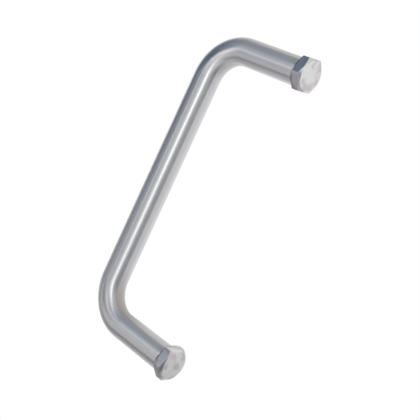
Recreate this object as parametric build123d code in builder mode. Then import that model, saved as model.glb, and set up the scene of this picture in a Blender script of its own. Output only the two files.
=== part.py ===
"""Bar handle: a round stainless bar bent into a U, with a hexagon-head bolt screwed into each leg.

Millimetres. The grip runs along Z and stands off the door towards -Y. The ends of both legs lie
in the plane Y = 0, where the door's front face goes, and the origin is midway between them.
The bolts are shown as the handle is sold: screwed home, with their heads on the leg ends.
"""

import os
from math import radians, tan

from build123d import *

# Bent bar
bar_diameter = 14.0
hole_spacing = 152.0  # between the axes of the two legs, 6 inches
leg_length = 53.0  # from the seat plane to the axis of the grip, 60 overall
bend_radius = 19.0  # to the bar's axis, 12 inside the bend
end_chamfer = 1.0  # round each faced leg end

# Bolts: M10 hexagon head, threaded to the head
thread_diameter = 10.0
thread_length = 20.0
thread_point_chamfer = 1.0
across_flats = 16.0
head_height = 5.6  # from the leg end to the top of the head
head_top_diameter = 14.8  # flat circle left inside the top chamfer
head_seat_diameter = 14.6  # flat circle left inside the chamfer underneath
head_chamfer_angle = 30.0
upper_head_turn = 9.0  # turn of a head's corner from +X, where tightening left it
lower_head_turn = 10.5

# Tapped blind holes in the leg ends
thread_clearance = 0.05  # on the radius, between the bolt and the hole
thread_run_out = 6.0  # hole depth beyond the bolt's point
drill_point_angle = 118.0
hole_mouth_chamfer = 0.3

os.makedirs("parts", exist_ok=True)

half_spacing = hole_spacing / 2
hole_radius = thread_diameter / 2 + thread_clearance


def seat_plane(height):
    """The plane of a leg's end: its normal points out of the leg, towards the door."""
    return Plane(origin=(0, 0, height), x_dir=(1, 0, 0), z_dir=(0, 1, 0))


def half_section(height):
    """A plane through a leg's axis: its x goes out from the axis and its y out of the leg."""
    return Plane(origin=(0, 0, height), x_dir=(1, 0, 0), z_dir=(0, 0, 1))


def leg_axis(height):
    return Axis((0, 0, height), (0, 1, 0))


# Handle bar: one length of round bar, bent twice, faced, drilled and tapped
hole_depth = thread_length + thread_run_out
drill_point_height = hole_radius / tan(radians(drill_point_angle / 2))
mouth_radius = hole_radius + hole_mouth_chamfer

with BuildPart() as handle_bar:
    with BuildLine() as bend_line:
        FilletPolyline(
            (0, 0, half_spacing),
            (0, -leg_length, half_spacing),
            (0, -leg_length, -half_spacing),
            (0, 0, -half_spacing),
            radius=bend_radius,
        )
    with BuildSketch(Plane(origin=bend_line.line @ 0, z_dir=bend_line.line % 0)):
        Circle(bar_diameter / 2)
    sweep(path=bend_line.line)

    rims = handle_bar.edges().filter_by(GeomType.CIRCLE).group_by(Axis.Y)[-1]
    chamfer(rims, end_chamfer)

    for height in (half_spacing, -half_spacing):
        with BuildSketch(half_section(height)):
            with BuildLine():
                Polyline(
                    (0, 0),
                    (mouth_radius, 0),
                    (hole_radius, -hole_mouth_chamfer),
                    (hole_radius, -hole_depth),
                    (0, -hole_depth - drill_point_height),
                    close=True,
                )
            make_face()
        revolve(axis=leg_axis(height), mode=Mode.SUBTRACT)

handle_bar.part.label = "handle_bar"
export_step(handle_bar.part, "parts/handle_bar.step")


# Bolts: a hexagon head, chamfered on top and underneath, on a threaded shank
def make_bolt(height, turn):
    """One bolt, seated on the leg end at this height, with its head turned by so many degrees."""
    shank_radius = thread_diameter / 2
    point_radius = shank_radius - thread_point_chamfer
    top_radius = head_top_diameter / 2
    seat_radius = head_seat_diameter / 2
    blank_radius = across_flats * 0.6  # just outside the hexagon's corners
    slope = tan(radians(head_chamfer_angle))

    with BuildPart() as bolt:
        with BuildSketch(seat_plane(height)):
            RegularPolygon(across_flats / 2, 6, major_radius=False, rotation=turn)
        extrude(amount=head_height)

        with BuildSketch(half_section(height)):
            with BuildLine():
                Polyline(
                    (0, 0),
                    (seat_radius, 0),
                    (blank_radius, (blank_radius - seat_radius) * slope),
                    (blank_radius, head_height - (blank_radius - top_radius) * slope),
                    (top_radius, head_height),
                    (0, head_height),
                    close=True,
                )
            make_face()
        revolve(axis=leg_axis(height), mode=Mode.INTERSECT)

        with BuildSketch(half_section(height)):
            with BuildLine():
                Polyline(
                    (0, 0),
                    (shank_radius, 0),
                    (shank_radius, thread_point_chamfer - thread_length),
                    (point_radius, -thread_length),
                    (0, -thread_length),
                    close=True,
                )
            make_face()
        revolve(axis=leg_axis(height))
    return bolt.part


for name, height, turn in (
    ("upper_bolt", half_spacing, upper_head_turn),
    ("lower_bolt", -half_spacing, lower_head_turn),
):
    bolt = make_bolt(height, turn)
    bolt.label = name
    export_step(bolt, f"parts/{name}.step")
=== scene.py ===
"""A bar handle: round stainless bar bent into a U, with a hexagon bolt screwed into each leg."""

from math import atan2, cos, hypot, pi, radians, sin, tan

import bmesh
import bpy
from mathutils import Matrix, Vector


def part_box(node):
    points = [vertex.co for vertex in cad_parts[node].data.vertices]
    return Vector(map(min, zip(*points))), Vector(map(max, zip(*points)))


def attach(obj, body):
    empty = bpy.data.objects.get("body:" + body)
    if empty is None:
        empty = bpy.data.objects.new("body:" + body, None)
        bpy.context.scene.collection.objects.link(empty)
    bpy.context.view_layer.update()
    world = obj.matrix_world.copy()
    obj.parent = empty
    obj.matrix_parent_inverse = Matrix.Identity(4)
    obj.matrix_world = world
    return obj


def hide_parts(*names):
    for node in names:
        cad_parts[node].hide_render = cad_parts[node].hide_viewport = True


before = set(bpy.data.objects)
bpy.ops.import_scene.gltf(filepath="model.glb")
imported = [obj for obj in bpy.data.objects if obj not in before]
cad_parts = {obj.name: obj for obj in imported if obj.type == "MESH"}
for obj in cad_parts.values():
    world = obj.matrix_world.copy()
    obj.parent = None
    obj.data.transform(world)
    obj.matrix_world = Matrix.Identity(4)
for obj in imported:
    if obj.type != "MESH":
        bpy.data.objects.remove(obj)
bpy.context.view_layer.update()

# The bent bar: one length of 14 mm round stainless bar, cold bent twice to a right angle. Its
# ends are faced square, broken at the rim, drilled and tapped for the bolts.
bar_low, bar_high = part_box("handle_bar")
bar_radius = bar_high.x
leg_height = bar_high.z - bar_radius
grip_depth = bar_low.y + bar_radius
bend_radius = 0.019
bend_height = leg_height - bend_radius
bend_depth = grip_depth + bend_radius
bend_length = bend_radius * pi / 2
rim_chamfer = 0.001
hole_radius = 0.00505
hole_depth = 0.026
hole_mouth_chamfer = 0.0003
drill_point_half_angle = radians(59)
sides_round_bar = 128
steps_round_bend = 48
sharp_edge_angle = radians(24)
merge_distance = 1e-6
unrolled = "along_bar"  # the name of the bar's UV


def extrude_ring(bm, ring, move, scale, middle):
    """Extrudes a closed ring of edges, scales it about a point, moves it, and returns its edges."""
    made = bmesh.ops.extrude_edge_only(bm, edges=ring)["geom"]
    points = [item for item in made if isinstance(item, bmesh.types.BMVert)]
    about = Matrix.Translation(middle)
    grow = Matrix.Scale(scale, 4)
    reshape = Matrix.Translation(move) @ about @ grow @ about.inverted()
    bmesh.ops.transform(bm, matrix=reshape, verts=points)
    held = set(points)
    return [
        item
        for item in made
        if isinstance(item, bmesh.types.BMEdge) and held.issuperset(item.verts)
    ]


def ring_points(ring):
    """The points of a ring of edges, each once."""
    return list({point for edge in ring for point in edge.verts})


def place_on_bar(point):
    """How far along the bar a point lies, and its angle round the bar, from the outside of the U."""
    side = 1 if point.z >= 0 else -1
    rise = abs(point.z) - bend_height
    depth = point.y - bend_depth
    if rise <= 0:
        return point.z, atan2(point.x, grip_depth - point.y)
    if depth >= 0:
        return side * (bend_height + bend_length + depth), atan2(point.x, rise - bend_radius)
    turned = atan2(rise, -depth)
    return side * (bend_height + bend_radius * turned), atan2(point.x, hypot(rise, depth) - bend_radius)


def unroll_bar(bm):
    """UV in metres: u runs along the bar and v round it, so that the finish follows the bends."""
    layer = bm.loops.layers.uv.new(unrolled)
    for face in bm.faces:
        middle_angle = place_on_bar(face.calc_center_median())[1]
        for corner in face.loops:
            along, angle = place_on_bar(corner.vert.co)
            if angle - middle_angle > pi:
                angle -= 2 * pi
            if angle - middle_angle < -pi:
                angle += 2 * pi
            corner[layer].uv = (along, angle * bar_radius)


def finish_mesh(bm, name, material):
    """Makes an object of a bmesh: smooth over its curves, sharp at its edges, at the origin."""
    for face in bm.faces:
        face.smooth = True
    mesh = bpy.data.meshes.new(name)
    bm.to_mesh(mesh)
    bm.free()
    mesh.set_sharp_from_angle(angle=sharp_edge_angle)
    mesh.materials.append(material)
    piece = bpy.data.objects.new(name, mesh)
    bpy.context.scene.collection.objects.link(piece)
    return piece


def linear(hex_colour):
    """An sRGB hex colour as Blender's linear RGBA."""
    values = [int(hex_colour[start:start + 2], 16) / 255 for start in (1, 3, 5)]
    return (*[v / 12.92 if v <= 0.04045 else ((v + 0.055) / 1.055) ** 2.4 for v in values], 1.0)


def add_node(tree, kind, settings=None, inputs=None):
    """Adds a node with its settings, and its inputs, by name or number, as values or as links."""
    node = tree.nodes.new(kind)
    for name, value in (settings or {}).items():
        setattr(node, name, value)
    for name, value in (inputs or {}).items():
        if isinstance(value, bpy.types.NodeSocket):
            tree.links.new(value, node.inputs[name])
        else:
            node.inputs[name].default_value = value
    return node


def new_material(name):
    """An empty material, and the node tree to build it in."""
    material = bpy.data.materials.new(name)
    material.use_nodes = True
    material.node_tree.nodes.clear()
    return material, material.node_tree


def shade_and_oil_joint(tree, place, unshaded_colour):
    """Darkens a steel near the seat plane: painted shade in the joint's groove, with its old oil and
    dust.
    """
    dark_within = 0.0004
    plain_beyond = 0.001
    apart = add_node(tree, "ShaderNodeSeparateXYZ", None, {"Vector": place})
    distance = add_node(tree, "ShaderNodeMath", {"operation": "ABSOLUTE"}, {0: apart.outputs["Y"]})
    unshaded_share = add_node(tree, "ShaderNodeMapRange", {"interpolation_type": "SMOOTHSTEP"}, {
        "Value": distance.outputs["Value"],
        "From Min": dark_within,
        "From Max": plain_beyond,
    })
    # mixes towards the painted shade and old oil of the joint
    return add_node(tree, "ShaderNodeMix", {"data_type": "RGBA"}, {
        "Factor": unshaded_share.outputs["Result"],
        "A": linear("#5A5A61"),
        "B": unshaded_colour,
    })


def paint_shade_inside_bends(tree, place, unshaded_colour):
    """Browns and darkens the inside of each bend, the lower one more: painted shade, for the darker
    surroundings that the inside of a bend reflects. The place is the bar's UV."""
    bend_end = bend_height + bend_length
    fade_round_start = 0.01  # to each side of the bend's start
    fade_before_end = 0.003
    fade_past_end = 0.021
    inside_start = radians(136)
    inside_full = radians(160)
    upper_bend_share = 0.28  # of the tone in the lower bend
    spread = add_node(tree, "ShaderNodeSeparateXYZ", None, {"Vector": place})
    along = add_node(tree, "ShaderNodeMath", {"operation": "ABSOLUTE"}, {0: spread.outputs["X"]})
    around = add_node(tree, "ShaderNodeMath", {"operation": "ABSOLUTE"}, {0: spread.outputs["Y"]})
    entered = add_node(tree, "ShaderNodeMapRange", {"interpolation_type": "SMOOTHSTEP"}, {
        "Value": along.outputs["Value"],
        "From Min": bend_height - fade_round_start,
        "From Max": bend_height + fade_round_start,
    })
    not_left = add_node(tree, "ShaderNodeMapRange", {"interpolation_type": "SMOOTHSTEP"}, {
        "Value": along.outputs["Value"],
        "From Min": bend_end - fade_before_end,
        "From Max": bend_end + fade_past_end,
        "To Min": 1.0,
        "To Max": 0.0,
    })
    inside = add_node(tree, "ShaderNodeMapRange", {"interpolation_type": "SMOOTHSTEP"}, {
        "Value": around.outputs["Value"],
        "From Min": inside_start * bar_radius,
        "From Max": inside_full * bar_radius,
    })
    strength = add_node(tree, "ShaderNodeMapRange", None, {
        "Value": spread.outputs["X"],
        "From Min": -bend_height,
        "From Max": bend_height,
        "To Min": 1.0,
        "To Max": upper_bend_share,
    })
    share = entered.outputs["Result"]
    for limit in (not_left, inside, strength):
        both = add_node(tree, "ShaderNodeMath", {"operation": "MULTIPLY"}, {
            0: share,
            1: limit.outputs["Result"],
        })
        share = both.outputs["Value"]
    # mixes towards the painted shade inside the bends
    return add_node(tree, "ShaderNodeMix", {"data_type": "RGBA"}, {
        "Factor": share,
        "A": unshaded_colour,
        "B": linear("#B9B5B3"),
    })


def satin_stainless_bar():
    """Ground and belt-polished 304 stainless: the belt's marks run round the bar, so that a lamp
    draws out into a line along it, and what stands beside it stays sharp across it."""
    mark_pitch = 0.0007  # real marks are near 0.05 mm; drawn coarser, or they would not show
    mark_length = 0.012
    mark_depth = 0.00001
    cloud_size = 0.018  # over which the polish comes out a little lighter or darker
    smoothest = 0.36
    roughest = 0.40
    material, tree = new_material("satin_stainless_bar")
    place = add_node(tree, "ShaderNodeUVMap", {"uv_map": unrolled})
    grain = add_node(tree, "ShaderNodeMapping", None, {
        "Vector": place.outputs["UV"],
        "Scale": (1 / mark_pitch, 1 / mark_length, 1.0),
    })
    marks = add_node(tree, "ShaderNodeTexNoise", {"noise_dimensions": "2D"}, {
        "Vector": grain.outputs["Vector"],
        "Scale": 1.0,
        "Detail": 3.0,
        "Roughness": 0.6,
    })
    where = add_node(tree, "ShaderNodeTexCoord")
    clouds = add_node(tree, "ShaderNodeTexNoise", None, {
        "Vector": where.outputs["Object"],
        "Scale": 1 / cloud_size,
        "Detail": 2.0,
    })
    shade = add_node(tree, "ShaderNodeMix", {"data_type": "RGBA"}, {
        "Factor": clouds.outputs["Fac"],
        "A": linear("#D5D6D9"),
        "B": linear("#DCDCDD"),
    })
    # painted shade inside the bends, for what they reflect
    bend_shade_painted = paint_shade_inside_bends(tree, place.outputs["UV"], shade.outputs["Result"])
    # painted shade and old oil at the joint with the bolt
    joint_oil_and_shade = shade_and_oil_joint(tree, where.outputs["Object"], bend_shade_painted.outputs["Result"])
    wear = add_node(tree, "ShaderNodeMapRange", None, {
        "Value": marks.outputs["Fac"],
        "To Min": smoothest,
        "To Max": roughest,
    })
    relief = add_node(tree, "ShaderNodeBump", None, {
        "Height": marks.outputs["Fac"],
        "Strength": 0.25,
        "Distance": mark_depth,
    })
    along = add_node(tree, "ShaderNodeTangent", {"direction_type": "UV_MAP", "uv_map": unrolled})
    steel = add_node(tree, "ShaderNodeBsdfPrincipled", None, {
        "Base Color": joint_oil_and_shade.outputs["Result"],
        "Metallic": 1.0,
        "Roughness": wear.outputs["Result"],
        "Anisotropic": 1.0,
        "Normal": relief.outputs["Normal"],
        "Tangent": along.outputs["Tangent"],
    })
    add_node(tree, "ShaderNodeOutputMaterial", None, {"Surface": steel.outputs["BSDF"]})
    return material


bm = bmesh.new()
bmesh.ops.create_circle(
    bm,
    radius=bar_radius,
    segments=sides_round_bar,
    matrix=Matrix.Translation((0, grip_depth, 0)),
)
ring = extrude_ring(bm, bm.edges[:], (0, 0, bend_height), 1.0, (0, grip_depth, 0))
bend = bmesh.ops.spin(
    bm,
    geom=ring,
    cent=(0, bend_depth, bend_height),
    axis=(1, 0, 0),
    angle=-pi / 2,
    steps=steps_round_bend,
)
ring = [item for item in bend["geom_last"] if isinstance(item, bmesh.types.BMEdge)]

# Down the leg, over the chamfered rim, across the faced end and down the hole to the drill's point.
depth = bend_depth
radius = bar_radius
for next_depth, next_radius in (
    (-rim_chamfer, bar_radius),
    (0.0, bar_radius - rim_chamfer),
    (0.0, hole_radius + hole_mouth_chamfer),
    (-hole_mouth_chamfer, hole_radius),
    (-hole_depth, hole_radius),
):
    leg_middle = (0, depth, leg_height)
    ring = extrude_ring(bm, ring, (0, next_depth - depth, 0), next_radius / radius, leg_middle)
    depth = next_depth
    radius = next_radius
drill_point = Vector((0, -hole_depth - hole_radius / tan(drill_point_half_angle), leg_height))
ring = extrude_ring(bm, ring, (0, 0, 0), 1.0, drill_point)
bmesh.ops.pointmerge(bm, verts=ring_points(ring), merge_co=drill_point)

whole = bm.verts[:] + bm.edges[:] + bm.faces[:]
bmesh.ops.mirror(bm, geom=whole, axis="Z", merge_dist=merge_distance)
bmesh.ops.recalc_face_normals(bm, faces=bm.faces[:])
unroll_bar(bm)
bent_bar = finish_mesh(bm, "bent_bar", satin_stainless_bar())
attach(bent_bar, "root")
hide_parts("handle_bar")

# The bolts: M10 hexagon screws of A2 stainless, forged, with the head chamfered at 30 degrees on
# top and underneath. Each is screwed home in a leg's end.
across_flats = 0.016
head_top_radius = 0.0074
head_seat_radius = 0.0073
head_chamfer_angle = radians(30)
thread_radius = 0.005
point_chamfer = 0.001
corner_round = 0.0003
sides_round_head = 96
flat_count = 6
head_turns = {"upper_bolt": radians(9), "lower_bolt": radians(10.5)}


def tumbled_stainless_bolt():
    """Cold-forged A2 stainless, tumbled after its thread is rolled: it blurs what it reflects the
    same in every direction, is finely mottled, and has faint darker stains."""
    grain_size = 0.0006  # real peening is near 0.1 mm; drawn coarser, or it would not show
    grain_depth = 0.00002
    stain_size = 0.0045
    stain_edge = 0.46  # the noise's value where a stain begins
    stain_heart = 0.66  # and where it is full
    smoothest = 0.26
    roughest = 0.36
    material, tree = new_material("tumbled_stainless_bolt")
    where = add_node(tree, "ShaderNodeTexCoord")
    grain = add_node(tree, "ShaderNodeTexNoise", None, {
        "Vector": where.outputs["Object"],
        "Scale": 1 / grain_size,
        "Detail": 3.0,
    })
    shade = add_node(tree, "ShaderNodeMix", {"data_type": "RGBA"}, {
        "Factor": grain.outputs["Fac"],
        "A": linear("#D2D3D5"),
        "B": linear("#DEDEDE"),
    })
    patches = add_node(tree, "ShaderNodeTexNoise", None, {
        "Vector": where.outputs["Object"],
        "Scale": 1 / stain_size,
        "Detail": 2.0,
    })
    stained = add_node(tree, "ShaderNodeMapRange", {"interpolation_type": "SMOOTHSTEP"}, {
        "Value": patches.outputs["Fac"],
        "From Min": stain_edge,
        "From Max": stain_heart,
    })
    aged = add_node(tree, "ShaderNodeMix", {"data_type": "RGBA"}, {
        "Factor": stained.outputs["Result"],
        "A": shade.outputs["Result"],
        "B": linear("#C4BCC0"),
    })
    # painted shade and old oil at the joint with the leg
    joint_oil_and_shade = shade_and_oil_joint(tree, where.outputs["Object"], aged.outputs["Result"])
    wear = add_node(tree, "ShaderNodeMapRange", None, {
        "Value": grain.outputs["Fac"],
        "To Min": smoothest,
        "To Max": roughest,
    })
    relief = add_node(tree, "ShaderNodeBump", None, {
        "Height": grain.outputs["Fac"],
        "Strength": 0.3,
        "Distance": grain_depth,
    })
    steel = add_node(tree, "ShaderNodeBsdfPrincipled", None, {
        "Base Color": joint_oil_and_shade.outputs["Result"],
        "Metallic": 1.0,
        "Roughness": wear.outputs["Result"],
        "Normal": relief.outputs["Normal"],
    })
    add_node(tree, "ShaderNodeOutputMaterial", None, {"Surface": steel.outputs["BSDF"]})
    return material


def spin_profile(bm, profile):
    """Turns an outline of (radius, depth) points into a solid of revolution about the Y axis."""
    points = [bm.verts.new((radius, depth, 0)) for radius, depth in profile]
    edges = [bm.edges.new(pair) for pair in zip(points, points[1:])]
    bmesh.ops.spin(
        bm,
        geom=points + edges,
        cent=(0, 0, 0),
        axis=(0, 1, 0),
        angle=2 * pi,
        steps=sides_round_head,
        use_merge=True,
    )
    bmesh.ops.remove_doubles(bm, verts=bm.verts[:], dist=merge_distance)


def cut_flats(bm, turn):
    """Trims the round head to its six flats."""
    on_the_cut = 1e-7  # a point this near to the cutting plane counts as on it
    for number in range(flat_count):
        angle = turn + (number + 0.5) * 2 * pi / flat_count
        outward = Vector((cos(angle), 0, -sin(angle)))
        cut = bmesh.ops.bisect_plane(
            bm,
            geom=bm.verts[:] + bm.edges[:] + bm.faces[:],
            dist=on_the_cut,
            plane_co=outward * across_flats / 2,
            plane_no=outward,
            clear_outer=True,
        )["geom_cut"]
        rim = [item for item in cut if isinstance(item, bmesh.types.BMEdge)]
        bmesh.ops.edgeloop_fill(bm, edges=rim)


def round_corners(bm):
    """Rounds the six corner edges of the head, as forging leaves them."""
    corner_zone = across_flats * 0.57  # the corners lie at 0.577 of the width across flats
    most_chamfer_rise = 0.001  # the chamfers' own edges in that zone rise less than this
    corners = [
        edge
        for edge in bm.edges
        if min(hypot(point.co.x, point.co.z) for point in edge.verts) > corner_zone
        and abs(edge.verts[0].co.y - edge.verts[1].co.y) > most_chamfer_rise
    ]
    bmesh.ops.bevel(
        bm,
        geom=corners,
        offset=corner_round,
        offset_type="WIDTH",
        affect="EDGES",
        segments=3,
        profile=0.5,
        material=-1,
    )


def hexagon_bolt(name, turn, material):
    """One bolt, made with its seat at the origin and then set on the end of its leg."""
    low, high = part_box(name)
    blank_radius = across_flats * 0.6  # just outside the hexagon's corners
    slope = tan(head_chamfer_angle)
    bm = bmesh.new()
    spin_profile(bm, (
        (0, high.y),
        (head_top_radius, high.y),
        (blank_radius, high.y - (blank_radius - head_top_radius) * slope),
        (blank_radius, (blank_radius - head_seat_radius) * slope),
        (head_seat_radius, 0),
        (thread_radius, 0),
        (thread_radius, low.y + point_chamfer),
        (thread_radius - point_chamfer, low.y),
        (0, low.y),
    ))
    cut_flats(bm, turn)
    round_corners(bm)
    bmesh.ops.recalc_face_normals(bm, faces=bm.faces[:])
    bolt_height = (low.z + high.z) / 2
    bmesh.ops.translate(bm, verts=bm.verts[:], vec=(0, 0, bolt_height))
    piece = finish_mesh(bm, name + "_steel", material)
    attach(piece, "root")
    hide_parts(name)


bolt_steel = tumbled_stainless_bolt()
for bolt_name, head_turn in head_turns.items():
    hexagon_bolt(bolt_name, head_turn, bolt_steel)

# The floor: a plain pale studio floor of painted board, laid well below the handle, which is
# shown as its mount holds it.
floor_height = -0.8
floor_half_width = 2.4


def pale_studio_floor():
    """Matt white paint. To the eye and in the steel it is lifted to the backdrop's white, and what
    shadow the handle casts on it stays."""
    lift = 0.22
    material, tree = new_material("pale_studio_floor")
    ray = add_node(tree, "ShaderNodeLightPath")
    seen = ray.outputs["Is Camera Ray"]
    for kind in ("Is Glossy Ray", "Is Transmission Ray"):
        either = add_node(tree, "ShaderNodeMath", {"operation": "MAXIMUM"}, {
            0: seen,
            1: ray.outputs[kind],
        })
        seen = either.outputs["Value"]
    paint = add_node(tree, "ShaderNodeBsdfDiffuse", None, {"Color": linear("#E4E4E4")})
    glow = add_node(tree, "ShaderNodeEmission", None, {"Strength": lift})
    lifted = add_node(tree, "ShaderNodeAddShader", None, {
        0: paint.outputs["BSDF"],
        1: glow.outputs["Emission"],
    })
    surface = add_node(tree, "ShaderNodeMixShader", None, {
        0: seen,
        1: paint.outputs["BSDF"],
        2: lifted.outputs["Shader"],
    })
    add_node(tree, "ShaderNodeOutputMaterial", None, {"Surface": surface.outputs["Shader"]})
    return material


bm = bmesh.new()
bmesh.ops.create_grid(
    bm,
    x_segments=1,
    y_segments=1,
    size=floor_half_width,
    matrix=Matrix.Translation((0, 0, floor_height)),
)
floor = finish_mesh(bm, "studio_floor", pale_studio_floor())

# The camera: 0.37 m from the handle, on its door side and a little above its middle, and turned
# so that the grip leans to the right.
camera_place = Vector((0.2986, 0.2209, 0.0410))
camera_aim = Vector((-0.0063, -0.0198, -0.0023))
camera_roll = radians(25.06)
camera_lens = 67.18

camera_data = bpy.data.cameras.new("camera")
camera_data.lens = camera_lens
camera_data.sensor_width = 36.0
camera = bpy.data.objects.new("camera", camera_data)
aim = (camera_aim - camera_place).to_track_quat("-Z", "Y").to_matrix().to_4x4()
camera.matrix_world = Matrix.Translation(camera_place) @ aim @ Matrix.Rotation(camera_roll, 4, "Z")
bpy.context.scene.collection.objects.link(camera)
bpy.context.scene.camera = camera

# The light: white all round, which is also the white behind the handle. Grey cards stand close
# about it, as a photographer sets them, and only the steel's reflections show them.
card_distance = 0.7
card_step = radians(5)

# Each card's name, its turn from +X towards +Y and its tilt up from level, in degrees, and its shade.
cards = (
    ("card_left_low", (-125, -56), (-68, -38), "#908E95"),
    ("card_left_middle", (-90, -56), (-38, -10), "#C8C7C8"),
    ("card_far_left_low", (-125, -90), (-38, -20), "#EAE8EA"),
    ("card_far_left", (-125, -90), (-20, -3), "#B1B1B6"),
    ("card_front_low", (-56, 8), (-74, -48), "#7C7C84"),
    ("card_front", (-40, 8), (-48, -12), "#C4C0C1"),
    ("card_left", (-90, -30), (-10, 11), "#697384"),
    ("card_left_high", (-95, -6), (11, 85), "#6D7C90"),
    ("card_right", (51, 93), (-50, 8), "#656976"),
    ("card_right_low", (93, 160), (-60, -24), "#AFAAAA"),
    ("card_overhead", (51, 265), (32, 85), "#E7E5E3"),
)


def matt_card(name, colour):
    """Matt paper on board. It glows evenly by itself, at the shade that a studio's light gives it."""
    material, tree = new_material(name)
    paper = add_node(tree, "ShaderNodeEmission", None, {"Color": linear(colour), "Strength": 1.0})
    add_node(tree, "ShaderNodeOutputMaterial", None, {"Surface": paper.outputs["Emission"]})
    return material


def stand_card(name, turn, tilt, colour):
    """A card curved round the handle, which only reflections show."""
    turn_from, turn_to = (radians(value) for value in turn)
    tilt_from, tilt_to = (radians(value) for value in tilt)
    foot = Vector((cos(turn_from) * cos(tilt_from), sin(turn_from) * cos(tilt_from), sin(tilt_from)))
    bm = bmesh.new()
    start = bm.verts.new(foot * card_distance)
    bmesh.ops.spin(
        bm,
        geom=[start],
        cent=(0, 0, 0),
        axis=(sin(turn_from), -cos(turn_from), 0),
        angle=tilt_to - tilt_from,
        steps=max(1, round((tilt_to - tilt_from) / card_step)),
    )
    bmesh.ops.spin(
        bm,
        geom=bm.verts[:] + bm.edges[:],
        cent=(0, 0, 0),
        axis=(0, 0, 1),
        angle=turn_to - turn_from,
        steps=max(1, round((turn_to - turn_from) / card_step)),
    )
    card = finish_mesh(bm, name, matt_card(name + "_paper", colour))
    card.visible_camera = False
    card.visible_diffuse = False
    card.visible_shadow = False


for card_name, card_turn, card_tilt, card_colour in cards:
    stand_card(card_name, card_turn, card_tilt, card_colour)

world = bpy.data.worlds.new("white_studio")
world.use_nodes = True
world_tree = world.node_tree
world_tree.nodes.clear()
backdrop = add_node(world_tree, "ShaderNodeBackground", None, {
    "Color": linear("#FFFFFF"),
    "Strength": 1.0,
})
add_node(world_tree, "ShaderNodeOutputWorld", None, {"Surface": backdrop.outputs["Background"]})
bpy.context.scene.world = world


# The lamps: a soft upright box lamp beside the lens and above it, twice as tall as the handle, and
# a weak small one nearer the handle and further round to the grip's side, for the line along each leg.
def hang_lamp(name, turn, distance, rise, width, height, watts):
    """A rectangular lamp facing the handle's axis, turned so many degrees from +X towards +Y."""
    data = bpy.data.lights.new(name, "AREA")
    data.shape = "RECTANGLE"
    data.size = width
    data.size_y = height
    data.energy = watts
    lamp = bpy.data.objects.new(name, data)
    outward = Vector((cos(radians(turn)), sin(radians(turn)), 0))
    lamp.location = outward * distance + Vector((0, 0, rise))
    lamp.rotation_euler = outward.to_track_quat("Z", "Y").to_euler()
    lamp.visible_camera = False
    bpy.context.scene.collection.objects.link(lamp)


hang_lamp("box_lamp", turn=30.5, distance=0.7, rise=0.245, width=0.152, height=0.35, watts=0.635)
hang_lamp("fill_lamp", turn=-20, distance=0.38, rise=0.04, width=0.1, height=0.12, watts=0.0377)

bpy.context.scene.view_settings.view_transform = "Standard"
